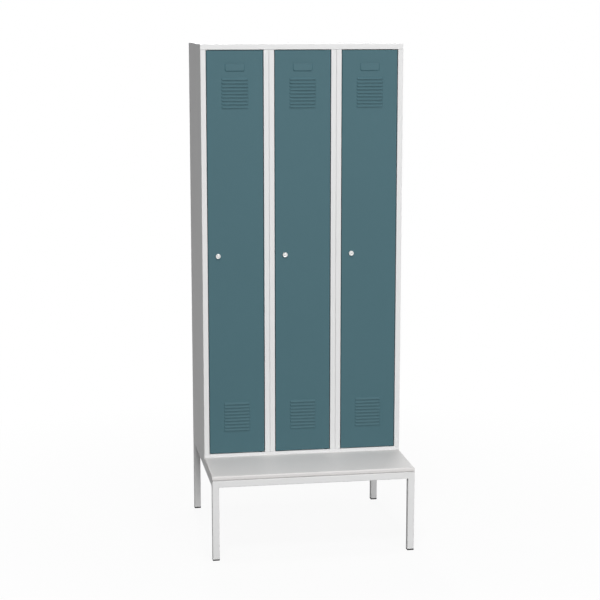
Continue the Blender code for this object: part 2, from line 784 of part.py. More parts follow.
def build_doors(paint, chrome, zinc):
    """Doors on their hinge axes, each with its stiffener and lock."""
    door = door_mesh()
    stiffener = stiffener_mesh()
    housing = housing_mesh()
    barrel = barrel_mesh()
    nut = nut_mesh()
    cam = cam_mesh()
    for index, label in enumerate(COMPARTMENTS):
        pivot = (compartment_centre(index) + HINGE_X, DOOR_FACE + HINGE_Y, FLOOR_TOP)
        hinge = axis_empty(f"{label}_door_axis", pivot)
        corner = (-HINGE_X, -HINGE_Y, DOOR_GAP)
        lock_place = (LOCK_X - HINGE_X, -HINGE_Y, DOOR_GAP + LOCK_Z)
        place(f"{label}_door", door, paint, corner, hinge)
        place(f"{label}_door_stiffener", stiffener, paint, corner, hinge)
        place(f"{label}_lock_housing", housing, chrome, lock_place, hinge)
        place(f"{label}_lock_nut", nut, zinc, lock_place, hinge)
        turn = axis_empty(f"{label}_lock_axis", lock_place, hinge)
        place(f"{label}_lock_barrel", barrel, chrome, parent=turn)
        place(f"{label}_lock_cam", cam, zinc, parent=turn)


def pin_mesh(name, reach):
    """Pivot pin with its head at z = 0 pointing down to -head and its shank up to reach."""
    profile = [
        (0.0, -PIN_HEAD_HEIGHT),
        (PIN_HEAD_RADIUS, -PIN_HEAD_HEIGHT),
        (PIN_HEAD_RADIUS, 0.0),
        (PIN_RADIUS, 0.0),
        (PIN_RADIUS, reach),
        (0.0, reach),
    ]
    return turned(name, profile, steps=PIN_STEPS)


def build_pins(zinc, plastic):
    """Pivot pins held in the roof's lip and in the floor, and the washers under the doors."""
    reach = SEAT_GAP + SHEET + DOOR_GAP + SHEET + PIN_BITE
    lower = pin_mesh("lower_hinge_pin", reach)
    upper = pin_mesh("upper_hinge_pin", reach)
    upper.transform(Matrix.Rotation(math.pi, 4, "X"))
    inner = PIN_RADIUS + PIN_CLEARANCE
    thickness = DOOR_GAP - 2 * SEAT_GAP
    profile = [(inner, 0.0), (WASHER_RADIUS, 0.0), (WASHER_RADIUS, thickness), (inner, thickness)]
    washer = turned("hinge_washer", profile, steps=PIN_STEPS)
    y = DOOR_FACE + HINGE_Y
    for label, x in zip(COMPARTMENTS, hinge_points()):
        place(f"{label}_lower_hinge_pin", lower, zinc, (x, y, FLOOR_TOP - SHEET - SEAT_GAP))
        place(f"{label}_upper_hinge_pin", upper, zinc, (x, y, RAIL_BOTTOM + SHEET + SEAT_GAP))
        place(f"{label}_hinge_washer", washer, plastic, (x, y, FLOOR_TOP + SEAT_GAP))


def shelf_mesh():
    """Hat shelf: a tray lying face up, with its flanges turned down."""
    depth = INNER_BACK - SHEET - SEAT_GAP - (BODY_FRONT + SHELF_SETBACK)
    mesh = tray_mesh("hat_shelf", INSIDE_WIDTH, SHELF_FLANGE, depth, DOOR_LIP)
    mesh.transform(Matrix.Rotation(-math.pi / 2, 4, "X"))
    return mesh


def coat_rail_mesh():
    """Coat rail: a tube with a welded flange at each end, turned and laid along X."""
    half = INSIDE_WIDTH / 2
    bore = RAIL_RADIUS - RAIL_WALL
    profile = [
        (bore, -half),
        (RAIL_FLANGE_RADIUS, -half),
        (RAIL_FLANGE_RADIUS, -half + RAIL_FLANGE),
        (RAIL_RADIUS, -half + RAIL_FLANGE),
        (RAIL_RADIUS, half - RAIL_FLANGE),
        (RAIL_FLANGE_RADIUS, half - RAIL_FLANGE),
        (RAIL_FLANGE_RADIUS, half),
        (bore, half),
    ]
    mesh = turned("coat_rail", profile, steps=SMALL_ROUND_STEPS)
    mesh.transform(Matrix.Rotation(math.pi / 2, 4, "Y"))
    return mesh


def hook_points():
    """Centre line of the double hook: from one tip, over the rail, to the other tip."""
    saddle = RAIL_RADIUS + SEAT_GAP + HOOK_WIRE_RADIUS
    bowl_y = saddle + HOOK_BOWL_RADIUS
    half = [(bowl_y + HOOK_BOWL_RADIUS, -HOOK_SHANK + HOOK_TIP)]
    for step in range(HOOK_ARC_STEPS + 1):
        angle = math.pi * step / HOOK_ARC_STEPS
        y = bowl_y + HOOK_BOWL_RADIUS * math.cos(angle)
        half.append((y, -HOOK_SHANK - HOOK_BOWL_RADIUS * math.sin(angle)))
    for step in range(HOOK_ARC_STEPS // 2 + 1):
        angle = math.pi * step / HOOK_ARC_STEPS
        half.append((saddle * math.cos(angle), saddle * math.sin(angle)))
    return half + [(-y, z) for y, z in reversed(half[:-1])]


def hook_curve(name):
    curve = bpy.data.curves.new(name, "CURVE")
    curve.dimensions = "3D"
    curve.bevel_depth = HOOK_WIRE_RADIUS
    curve.bevel_resolution = 1
    curve.use_fill_caps = True
    points = hook_points()
    spline = curve.splines.new("POLY")
    spline.points.add(len(points) - 1)
    for target, (y, z) in zip(spline.points, points):
        target.co = (0.0, y, z, 1.0)
    return curve


def build_insides(paint, zinc):
    """Hat shelf, coat rail and sliding double hook of every compartment."""
    shelf = shelf_mesh()
    rail = coat_rail_mesh()
    hook = hook_curve("coat_hook")
    for index, label in enumerate(COMPARTMENTS):
        x = compartment_centre(index)
        place(f"{label}_hat_shelf", shelf, paint, (x, BODY_FRONT + SHELF_SETBACK, SHELF_TOP))
        place(f"{label}_coat_rail", rail, zinc, (x, COAT_RAIL_Y, COAT_RAIL_Z))
        place(f"{label}_coat_hook", hook, zinc, (x, COAT_RAIL_Y, COAT_RAIL_Z))


def build_locker():
    clear_scene()
    light_grey = finish_material("light_grey_powder_coat", (0.72, 0.74, 0.74), 0.45)
    teal = finish_material("teal_powder_coat", (0.080, 0.160, 0.185), 0.45)
    board = finish_material("light_grey_laminate", (0.60, 0.61, 0.61), 0.40)
    chrome = finish_material("polished_chrome", (0.80, 0.82, 0.84), 0.15, 1.0)
    zinc = finish_material("zinc_plated_steel", (0.55, 0.56, 0.57), 0.35, 1.0)
    black = finish_material("black_plastic", (0.020, 0.020, 0.020), 0.50)
    build_frame(light_grey, black)
    build_seat(board)
    build_walls(light_grey)
    build_roof(light_grey)
    build_floor(light_grey)
    build_back(light_grey)
    build_insides(light_grey, zinc)
    build_pins(zinc, black)
    build_doors(teal, chrome, zinc)


build_locker()
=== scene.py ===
"""Looks of the gym locker: pressed doors, folded body, tube frame, bench board and locks.

Metres, +X to the right, +Y to the back, +Z up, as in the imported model.
"""

import json
import math

import bmesh
import bpy
from mathutils import Matrix, Vector

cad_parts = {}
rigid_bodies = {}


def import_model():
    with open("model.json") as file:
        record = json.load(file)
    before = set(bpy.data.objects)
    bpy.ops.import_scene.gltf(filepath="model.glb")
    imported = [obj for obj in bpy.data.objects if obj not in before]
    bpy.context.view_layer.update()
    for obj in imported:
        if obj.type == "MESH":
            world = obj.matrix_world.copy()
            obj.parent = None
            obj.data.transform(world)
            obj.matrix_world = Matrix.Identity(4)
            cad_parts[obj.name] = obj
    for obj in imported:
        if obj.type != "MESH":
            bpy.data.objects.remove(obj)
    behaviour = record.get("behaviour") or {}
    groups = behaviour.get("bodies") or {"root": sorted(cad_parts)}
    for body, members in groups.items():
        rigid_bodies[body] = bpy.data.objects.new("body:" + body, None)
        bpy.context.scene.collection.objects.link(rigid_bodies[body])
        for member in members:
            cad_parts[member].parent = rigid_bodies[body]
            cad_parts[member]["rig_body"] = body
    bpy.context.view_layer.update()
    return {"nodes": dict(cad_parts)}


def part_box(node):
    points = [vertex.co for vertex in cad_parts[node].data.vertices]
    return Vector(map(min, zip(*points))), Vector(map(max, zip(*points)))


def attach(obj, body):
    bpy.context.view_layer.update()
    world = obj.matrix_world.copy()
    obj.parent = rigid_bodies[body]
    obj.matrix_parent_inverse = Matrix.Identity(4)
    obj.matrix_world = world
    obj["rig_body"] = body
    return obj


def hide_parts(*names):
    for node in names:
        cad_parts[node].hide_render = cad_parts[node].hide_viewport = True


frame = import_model()
NODES = frame["nodes"]

COMPARTMENTS = ("left", "middle", "right")

# Tolerances: lengths in metres, the cosine of lying along an axis, and angles in degrees
HAIR = 1e-6
MERGE_REACH = 5e-6
MIRROR_REACH = 2e-6
ALONG_AXIS = 0.999
FLAT_WITHIN = 0.05
BENT_FROM = 6.0

# Shading: the bend in degrees that looks sharp, and the pull of large faces on the normals
SHARP_FROM = 50.0
FACE_PULL = 100

# Sheet metal, and the gap that keeps neighbouring pieces apart
SHEET = 0.0008
FOLD = 0.0018
FOLD_STEPS = 4
PIECE_GAP = 0.0003

# Door
DOOR_DEPTH = 0.018
DOOR_LIP = 0.010
FACE_MARGIN = 0.0012
HOLE_STEPS = 40
PIN_HOLE_RADIUS = 0.0033
LOCK_HOLE_RADIUS = 0.0093

# Louvre hoods
LOUVRES_PER_BANK = 9
LOUVRE_PITCH = 0.0151
LOUVRE_LENGTH = 0.118
LOUVRE_RISE = 0.0090
LOUVRE_REACH = 0.0044
LOUVRE_END = 0.005
LOUVRE_ROOT = 0.0008
LOUVRE_ROOT_STEPS = 2
LOUVRE_AROUND = 32
LOUVRE_ALONG = 26
UPPER_BANK_FROM_TOP = 0.188
LOWER_BANK_FROM_BOTTOM = 0.164

# Pressed card pocket: it stands out most at its foot, and least at its mouth
POCKET_WIDTH = 0.088
POCKET_HEIGHT = 0.034
POCKET_SLOPE = 0.0058
POCKET_RISE = 0.0038
POCKET_MOUTH_SHARE = 0.5
POCKET_FROM_TOP = 0.057
POCKET_ROOT = 0.0012
POCKET_CORNER = 0.011
POCKET_STEPS = 8

# Square tube, feet and bench board
TUBE_CORNER = 0.003
TUBE_WALL = 0.0015
CORNER_STEPS = 5
WELD_WIDTH = 0.0040
WELD_ROUND = 0.0019
WELD_STAND = 0.0012
WELD_STEPS = 3
FOOT_CHAMFER = 0.0007
FOOT_STEPS = 3
BOARD_ROUND = 0.0065
BOARD_STEPS = 8

# Spot welds of the back panel
WELD_MARK_RADIUS = 0.0042
WELD_MARK_RIM = 0.0004
WELD_MARK_SLOPE = 0.0012
WELD_MARK_DEPTH = 0.00050
WELD_MARK_STEPS = 14
WELD_MARK_SHARP = 12.0
WELD_MARK_INSET = 0.0078
WELD_MARK_PITCH = 0.150
WELD_MARK_SHARES = (0.25, 0.5, 0.75)

# Locks and small turned parts
TURN_STEPS = 64
HEAD_BEVEL = 0.0015
HEAD_STEPS = 4
BORE_EDGE = 0.0003
KEY_SLOT = (0.0016, 0.008)
KEY_SLOT_DEPTH = 0.008
BARREL_EDGE = 0.0004
BARREL_WIDTH_TO_TAIL = 3

# Patterns in the finishes: scale and detail of each noise, and the height of the relief
COAT_TONE = (3.0, 3.0)
COAT_GLOSS = (45.0, 4.0)
COAT_PEEL_DETAIL = 2.0
LAMINATE_CLOUD = (9.0, 4.0)
LAMINATE_GRAIN_DETAIL = 1.0
LAMINATE_SCRATCH = (1.0, 2.0)
METAL_SATIN = (900.0, 3.0)
SCRATCH_TURN = 0.35
SCRATCH_STRETCH = (6.0, 260.0, 1.0)
RELIEF_HEIGHT = 0.0001

# Floor: its reach to each side, how pale it looks, how much light it throws back on the object
FLOOR_REACH = 40.0
FLOOR_TONE = 0.80
FLOOR_BOUNCE = 0.42
FLOOR_ROUGHNESS = 0.9

# Distances from the middle between which the floor fades to white, and its white share at each
FADE_FROM, FADE_TO = 0.9, 2.6
WHITE_NEAR, WHITE_FAR = 0.92, 1.0

# Strength of the world's light on the object
AMBIENT = 0.10

# Camera, fitted to the edges in the photo: place, angles in degrees, lens and sensor in mm
CAMERA_PLACE = (-1.189, -7.110, 2.335)
CAMERA_ANGLES = (80.084, 0.0, -9.52)
CAMERA_LENS = 96.63
CAMERA_SENSOR = 36.0

# Lamps, all turned to one point: name, place, width and height, watts
LAMPS_AIM = (0.0, 0.0, 1.1)
LAMPS = (
    ("key_softbox", (-2.2, -6.3, 10.7), (2.6, 2.6), 470.0),
    ("right_softbox", (4.7, -9.3, 7.1), (4.0, 4.0), 245.0),
    ("front_softbox", (1.6, -10.7, 3.4), (4.5, 3.5), 475.0),
    ("top_softbox", (0.0, 0.7, 11.2), (2.0, 2.0), 250.0),
    ("back_softbox", (0.0, 9.8, 5.6), (0.8, 4.0), 310.0),
    ("back_right_softbox", (3.4, 9.2, 5.6), (4.0, 4.0), 110.0),
)


# Finishes

FLOAT = "NodeSocketFloat"
COLOUR = "NodeSocketColor"
FINISH_OUTPUTS = (("Colour", COLOUR), ("Roughness", FLOAT), ("Height", FLOAT))


def link(tree, source, target):
    tree.links.new(source, target)


def node(tree, kind, **values):
    item = tree.nodes.new(kind)
    for key, value in values.items():
        setattr(item, key, value)
    return item


def feed(tree, value, socket):
    """Link an output to the socket, or set the socket to a plain value."""
    if isinstance(value, bpy.types.NodeSocket):
        link(tree, value, socket)
    else:
        socket.default_value = value


def maths(tree, operation, *values):
    """Output of a sum or product of links and plain values."""
    item = node(tree, "ShaderNodeMath", operation=operation)
    for socket, value in zip(item.inputs, values):
        feed(tree, value, socket)
    return item.outputs[0]


def ramp(tree, value, low, high, start=0.0, end=1.0):
    """From low to high, as the value goes from start to end."""
    item = node(tree, "ShaderNodeMapRange")
    labels = ("Value", "From Min", "From Max", "To Min", "To Max")
    for label, given in zip(labels, (value, start, end, low, high)):
        feed(tree, given, item.inputs[label])
    return item.outputs["Result"]


def effect_group(name, inputs, outputs):
    """Empty shader group with named sockets, and its own input and output nodes."""
    group = bpy.data.node_groups.new(name, "ShaderNodeTree")
    for label, kind, value in inputs:
        socket = group.interface.new_socket(name=label, in_out="INPUT", socket_type=kind)
        socket.default_value = value
    for label, kind in outputs:
        group.interface.new_socket(name=label, in_out="OUTPUT", socket_type=kind)
    return group, group.nodes.new("NodeGroupInput"), group.nodes.new("NodeGroupOutput")


def noise(tree, place, scale, detail):
    item = node(tree, "ShaderNodeTexNoise", noise_dimensions="3D")
    for label, value in (("Vector", place), ("Scale", scale), ("Detail", detail)):
        feed(tree, value, item.inputs[label])
    return item.outputs["Fac"]


def swing(tree, factor, middle, amount):
    """middle plus or minus amount, as the factor goes from 0 to 1."""
    centred = maths(tree, "SUBTRACT", factor, 0.5)
    doubled = maths(tree, "MULTIPLY", centred, 2.0)
    return maths(tree, "MULTIPLY_ADD", doubled, amount, middle)


def toned(tree, colour, factor):
    """The colour made a little lighter or darker by a factor near 1."""
    scaled = node(tree, "ShaderNodeVectorMath", operation="SCALE")
    link(tree, colour, scaled.inputs[0])
    link(tree, factor, scaled.inputs["Scale"])
    return scaled.outputs[0]


def give_out(group, given, out, tone, gloss, height):
    """Close an effect: one pattern moves its colour, one its roughness, one is its relief."""
    factor = swing(group, tone, 1.0, given.outputs["Tone Swing"])
    link(group, toned(group, given.outputs["Colour"], factor), out.inputs["Colour"])
    rough = swing(group, gloss, given.outputs["Roughness"], given.outputs["Gloss Swing"])
    link(group, rough, out.inputs["Roughness"])
    link(group, height, out.inputs["Height"])


def powder_coat_effect():
    """Baked powder paint: fine orange peel, slow changes of tone and small changes of gloss."""
    inputs = (
        ("Colour", COLOUR, (0.7, 0.7, 0.7, 1.0)),
        ("Tone Swing", FLOAT, 0.02),
        ("Roughness", FLOAT, 0.45),
        ("Gloss Swing", FLOAT, 0.04),
        ("Peel Scale", FLOAT, 700.0),
    )
    group, given, out = effect_group("powder_coat_effect", inputs, FINISH_OUTPUTS)
    place = node(group, "ShaderNodeTexCoord").outputs["Object"]
    tone = noise(group, place, *COAT_TONE)
    gloss = noise(group, place, *COAT_GLOSS)
    peel = noise(group, place, given.outputs["Peel Scale"], COAT_PEEL_DETAIL)
    give_out(group, given, out, tone, gloss, peel)
    return group


def laminate_effect():
    """Pressed laminate: fine pearl grain, faint cloudiness and hair scratches in the gloss."""
    inputs = (
        ("Colour", COLOUR, (0.5, 0.5, 0.5, 1.0)),
        ("Tone Swing", FLOAT, 0.03),
        ("Roughness", FLOAT, 0.4),
        ("Gloss Swing", FLOAT, 0.05),
        ("Grain Scale", FLOAT, 1400.0),
    )
    group, given, out = effect_group("laminate_effect", inputs, FINISH_OUTPUTS)
    place = node(group, "ShaderNodeTexCoord").outputs["Object"]
    cloud = noise(group, place, *LAMINATE_CLOUD)
    grain = noise(group, place, given.outputs["Grain Scale"], LAMINATE_GRAIN_DETAIL)
    tone = maths(group, "MULTIPLY", maths(group, "ADD", cloud, grain), 0.5)
    stretch = node(group, "ShaderNodeMapping")
    stretch.inputs["Rotation"].default_value = (0.0, 0.0, SCRATCH_TURN)
    stretch.inputs["Scale"].default_value = SCRATCH_STRETCH
    link(group, place, stretch.inputs["Vector"])
    scratch = noise(group, stretch.outputs["Vector"], *LAMINATE_SCRATCH)
    give_out(group, given, out, tone, scratch, grain)
    return group


def metal_effect():
    """Plated metal: grains of slightly different tone and gloss under a fine satin texture."""
    inputs = (
        ("Colour", COLOUR, (0.6, 0.6, 0.6, 1.0)),
        ("Tone Swing", FLOAT, 0.05),
        ("Roughness", FLOAT, 0.3),
        ("Gloss Swing", FLOAT, 0.08),
        ("Grain Scale", FLOAT, 350.0),
    )
    group, given, out = effect_group("metal_effect", inputs, FINISH_OUTPUTS)
    place = node(group, "ShaderNodeTexCoord").outputs["Object"]
    grains = node(group, "ShaderNodeTexVoronoi", feature="F1")
    link(group, place, grains.inputs["Vector"])
    link(group, given.outputs["Grain Scale"], grains.inputs["Scale"])
    shade = node(group, "ShaderNodeSeparateColor")
    link(group, grains.outputs["Color"], shade.inputs["Color"])
    satin = noise(group, place, *METAL_SATIN)
    give_out(group, given, out, shade.outputs["Red"], shade.outputs["Green"], satin)
    return group


def finish(name, group, values, metallic=0.0, specular=0.5, bump=0.1):
    """Principled material whose colour, gloss and relief come from one effect group."""
    material = bpy.data.materials.new(name)
    material.use_nodes = True
    tree = material.node_tree
    shader = tree.nodes["Principled BSDF"]
    shader.inputs["Metallic"].default_value = metallic
    shader.inputs["Specular IOR Level"].default_value = specular
    effect = node(tree, "ShaderNodeGroup", node_tree=group)
    for label, value in values.items():
        effect.inputs[label].default_value = value
    relief = node(tree, "ShaderNodeBump")
    relief.inputs["Strength"].default_value = bump
    relief.inputs["Distance"].default_value = RELIEF_HEIGHT
    link(tree, effect.outputs["Colour"], shader.inputs["Base Color"])
    link(tree, effect.outputs["Roughness"], shader.inputs["Roughness"])
    link(tree, effect.outputs["Height"], relief.inputs["Height"])
    link(tree, relief.outputs["Normal"], shader.inputs["Normal"])
    return material


def make_finishes():
    coat = powder_coat_effect()
    laminate = laminate_effect()
    metal = metal_effect()
    light_grey = {"Colour": (0.795, 0.795, 0.795, 1.0), "Tone Swing": 0.012, "Roughness": 0.58}
    teal = {"Colour": (0.063, 0.140, 0.165, 1.0), "Tone Swing": 0.03, "Roughness": 0.55}
    board = {"Colour": (0.737, 0.720, 0.711, 1.0), "Tone Swing": 0.02, "Roughness": 0.50}
    black = {
        "Colour": (0.009, 0.009, 0.010, 1.0),
        "Tone Swing": 0.10,
        "Roughness": 0.60,
        "Peel Scale": 1500.0,
    }
    chrome = {
        "Colour": (0.50, 0.50, 0.495, 1.0),
        "Tone Swing": 0.01,
        "Roughness": 0.42,
        "Gloss Swing": 0.03,
        "Grain Scale": 900.0,
    }
    zinc = {"Colour": (0.60, 0.61, 0.62, 1.0), "Tone Swing": 0.06, "Roughness": 0.34}
    return {
        "light_grey_paint": finish("light_grey_paint", coat, light_grey, specular=0.12),
        "teal_paint": finish("teal_paint", coat, teal, specular=0.2),
        "seat_laminate": finish("seat_laminate", laminate, board, specular=0.2, bump=0.05),
        "lock_chrome": finish("lock_chrome", metal, chrome, metallic=1.0, bump=0.01),
        "zinc_plated_steel": finish("zinc_plated_steel", metal, zinc, metallic=1.0, bump=0.05),
        "black_plastic": finish("black_plastic", coat, black, specular=0.2, bump=0.2),
    }


# Making pieces


def everything(bm):
    return bm.verts[:] + bm.edges[:] + bm.faces[:]


def verts_of(items):
    return [item for item in items if isinstance(item, bmesh.types.BMVert)]


def edges_of(items):
    return [item for item in items if isinstance(item, bmesh.types.BMEdge)]


def edges_along(bm, axis):
    """The edges of a block that run along an axis."""
    return [
        edge
        for edge in bm.edges
        if abs((edge.verts[0].co - edge.verts[1].co).normalized()[axis]) > ALONG_AXIS
    ]


def open_edges_at(bm, y):
    """The free edges of the sheets that lie in one upright plane."""
    return [
        edge
        for edge in bm.edges
        if len(edge.link_faces) < 2 and all(abs(vert.co.y - y) < HAIR for vert in edge.verts)
    ]


def cut_away(bm, normal):
    """Cut through the origin, and remove what lies on the side that the normal points to."""
    bmesh.ops.bisect_plane(
        bm,
        geom=everything(bm),
        dist=HAIR,
        plane_co=(0.0, 0.0, 0.0),
        plane_no=normal,
        clear_outer=True,
    )


def rounded(bm, corners, width, steps, affect="EDGES"):
    bmesh.ops.bevel(
        bm,
        geom=corners,
        offset=width,
        offset_type="OFFSET",
        segments=steps,
        profile=0.5,
        affect=affect,
        material=-1,
    )


def block(low, high):
    """Plain block between two corners, to be shaped further."""
    low, high = Vector(low), Vector(high)
    bm = bmesh.new()
    bmesh.ops.create_cube(bm, size=1.0)
    bmesh.ops.scale(bm, vec=high - low, verts=bm.verts)
    bmesh.ops.translate(bm, vec=(low + high) / 2, verts=bm.verts)
    return bm


def facing(bm, axis, side):
    """The faces whose normal points along an axis, to its low (-1) or high (+1) side."""
    return [face for face in bm.faces if side * face.normal[axis] > ALONG_AXIS]


def face_out(bm):
    """Point every face of an open-backed sheet piece out of its front, towards -Y."""
    bmesh.ops.recalc_face_normals(bm, faces=bm.faces)
    largest = max(bm.faces, key=lambda face: face.calc_area() * abs(face.normal.y))
    if largest.normal.y > 0.0:
        bmesh.ops.reverse_faces(bm, faces=bm.faces)


def as_mesh(bm, name, sharp_from=SHARP_FROM):
    """Finish a mesh: round shading, broken at edges that bend by more than the given degrees."""
    mesh = bpy.data.meshes.new(name)
    bm.to_mesh(mesh)
    bm.free()
    mesh.shade_smooth()
    mesh.set_sharp_from_angle(angle=math.radians(sharp_from))
    return mesh


def add_mesh(bm, mesh, shift=(0.0, 0.0, 0.0)):
    """Add a copy of a mesh to the piece that is being made."""
    before = set(bm.verts)
    bm.from_mesh(mesh)
    added = [vert for vert in bm.verts if vert not in before]
    bmesh.ops.translate(bm, vec=shift, verts=added)


def even_shading(item):
    """Keep flat sheet flat in its shading, so that only the bends look round."""
    weights = item.modifiers.new("even_shading", "WEIGHTED_NORMAL")
    weights.mode = "FACE_AREA"
    weights.weight = FACE_PULL
    weights.keep_sharp = True


def thicken(item, thickness, even=True):
    wall = item.modifiers.new("wall", "SOLIDIFY")
    wall.thickness = thickness
    wall.offset = -1.0
    wall.use_even_offset = even


def piece(name, mesh, slot_name, stands_for=None, body=None):
    """Put a finished mesh in the scene, with its finish, the body it rides on and its slot."""
    item = bpy.data.objects.new(name, mesh)
    bpy.context.scene.collection.objects.link(item)
    mesh.materials.append(FINISHES[slot_name])
    if stands_for is not None:
        body = NODES[stands_for]["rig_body"]
        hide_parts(stands_for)
    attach(item, body)
    return item


def merged_copy(node_name):
    """A CAD node's own shape with its loose triangles joined, ready for round shading."""
    bm = bmesh.new()
    bm.from_mesh(NODES[node_name].data)
    bmesh.ops.remove_doubles(bm, verts=bm.verts, dist=MERGE_REACH)
    bmesh.ops.dissolve_limit(
        bm,
        angle_limit=math.radians(FLAT_WITHIN),
        verts=bm.verts,
        edges=bm.edges,
        delimit=set(),
    )
    bmesh.ops.triangulate(bm, faces=[face for face in bm.faces if len(face.verts) > 4])
    return bm


# Doors


def louvre_hood():
    """One hood: a cap cut from a ball, made blunter and drawn out sideways, and cut open below.

    It swells towards -Y from the plane y = 0, with its lip on z = 0 and its middle on x = 0.
    A narrow flat rim round it lies in the door's face.
    """
    depth = (LOUVRE_RISE**2 - LOUVRE_REACH**2) / (2 * LOUVRE_REACH)
    ball = depth + LOUVRE_REACH
    bm = bmesh.new()
    bmesh.ops.create_uvsphere(
        bm, u_segments=LOUVRE_AROUND, v_segments=LOUVRE_ALONG, radius=ball
    )
    bmesh.ops.rotate(bm, matrix=Matrix.Rotation(math.pi / 2, 3, "X"), verts=bm.verts)
    bmesh.ops.translate(bm, vec=(0.0, depth, 0.0), verts=bm.verts)
    cut_away(bm, (0.0, 1.0, 0.0))
    root = [edge for edge in bm.edges if edge.is_boundary]
    rim = bmesh.ops.extrude_edge_only(bm, edges=root)["geom"]
    grow = (LOUVRE_RISE + 2 * LOUVRE_ROOT) / LOUVRE_RISE
    bmesh.ops.scale(bm, vec=(grow, 1.0, grow), verts=verts_of(rim))
    rounded(bm, root, LOUVRE_ROOT, LOUVRE_ROOT_STEPS)
    cut_away(bm, (0.0, 0.0, -1.0))
    cut_away(bm, (-1.0, 0.0, 0.0))
    bmesh.ops.scale(bm, vec=(LOUVRE_END / LOUVRE_RISE, 1.0, 1.0), verts=bm.verts)
    run = LOUVRE_LENGTH / 2 - LOUVRE_END
    bmesh.ops.translate(bm, vec=(run, 0.0, 0.0), verts=bm.verts)
    open_end = [
        edge
        for edge in bm.edges
        if edge.is_boundary and all(vert.co.x < run + HAIR for vert in edge.verts)
    ]
    drawn = bmesh.ops.extrude_edge_only(bm, edges=open_end)["geom"]
    bmesh.ops.translate(bm, vec=(-run, 0.0, 0.0), verts=verts_of(drawn))
    bmesh.ops.mirror(bm, geom=everything(bm), axis="X", merge_dist=MIRROR_REACH)
    close_cut_line(bm)
    return as_mesh(bm, "louvre_hood")


def close_cut_line(bm):
    """Lay the straight cut on z = 0 in the door's face, from end to end of a pressing."""
    ends = [
        vert
        for vert in bm.verts
        if abs(vert.co.z) < HAIR and abs(vert.co.y) < HAIR and vert.is_boundary
    ]
    inner = min(abs(vert.co.x) for vert in ends)
    pair = [vert for vert in ends if abs(abs(vert.co.x) - inner) < HAIR]
    bmesh.ops.contextual_create(bm, geom=pair)


def eased(share):
    """S-shaped way from 0 to 1, level at both ends."""
    return share * share * (3.0 - 2.0 * share)


def card_pocket():
    """Pressed card pocket, open at its top edge on z = 0, with its flat rim in the plane y = 0."""
    bm = bmesh.new()
    bmesh.ops.create_grid(bm, x_segments=1, y_segments=1, size=0.5)
    bmesh.ops.rotate(bm, matrix=Matrix.Rotation(math.pi / 2, 3, "X"), verts=bm.verts)
    width = POCKET_WIDTH + 2 * POCKET_ROOT
    height = 2 * (POCKET_HEIGHT + POCKET_ROOT)
    bmesh.ops.scale(bm, vec=(width, 1.0, height), verts=bm.verts)
    centre = bm.faces[:]
    bmesh.ops.inset_region(bm, faces=centre, thickness=POCKET_ROOT, use_even_offset=True)
    rounded(bm, centre[0].verts[:], POCKET_CORNER, POCKET_STEPS, affect="VERTICES")
    centre = [max(bm.faces, key=lambda face: face.calc_area())]
    risen = 0.0
    for step in range(1, POCKET_STEPS + 1):
        level = POCKET_RISE * eased(step / POCKET_STEPS)
        bmesh.ops.inset_region(
            bm,
            faces=centre,
            thickness=POCKET_SLOPE / POCKET_STEPS,
            depth=level - risen,
            use_boundary=True,
            use_even_offset=True,
        )
        risen = level
    cut_away(bm, (0.0, 0.0, 1.0))
    for vert in bm.verts:
        down = min(1.0, -vert.co.z / POCKET_HEIGHT)
        vert.co.y *= POCKET_MOUTH_SHARE + (1.0 - POCKET_MOUTH_SHARE) * down
    close_cut_line(bm)
    return as_mesh(bm, "card_pocket")


def ring_at(bm, radius, centre, axis):
    """Circle of edges round a hole, across the given axis."""
    before = set(bm.edges)
    turn = Matrix.Identity(3) if axis == "Z" else Matrix.Rotation(math.pi / 2, 3, "X")
    made = bmesh.ops.create_circle(bm, cap_ends=False, segments=HOLE_STEPS, radius=radius)
    bmesh.ops.rotate(bm, matrix=turn, verts=made["verts"])
    bmesh.ops.translate(bm, vec=centre, verts=made["verts"])
    return [edge for edge in bm.edges if edge not in before]


def fill_sheet(bm, edges, normal):
    """Flat sheet inside an outline and round the outlines of its holes."""
    bmesh.ops.triangle_fill(bm, use_beauty=True, use_dissolve=False, edges=edges, normal=normal)


def open_face(bm, face, holes):
    """Turn one flat face into sheet round the given hole outlines."""
    normal = face.normal.copy()
    outline = list(face.edges)
    bmesh.ops.delete(bm, geom=[face], context="FACES_ONLY")
    fill_sheet(bm, outline + holes, normal)


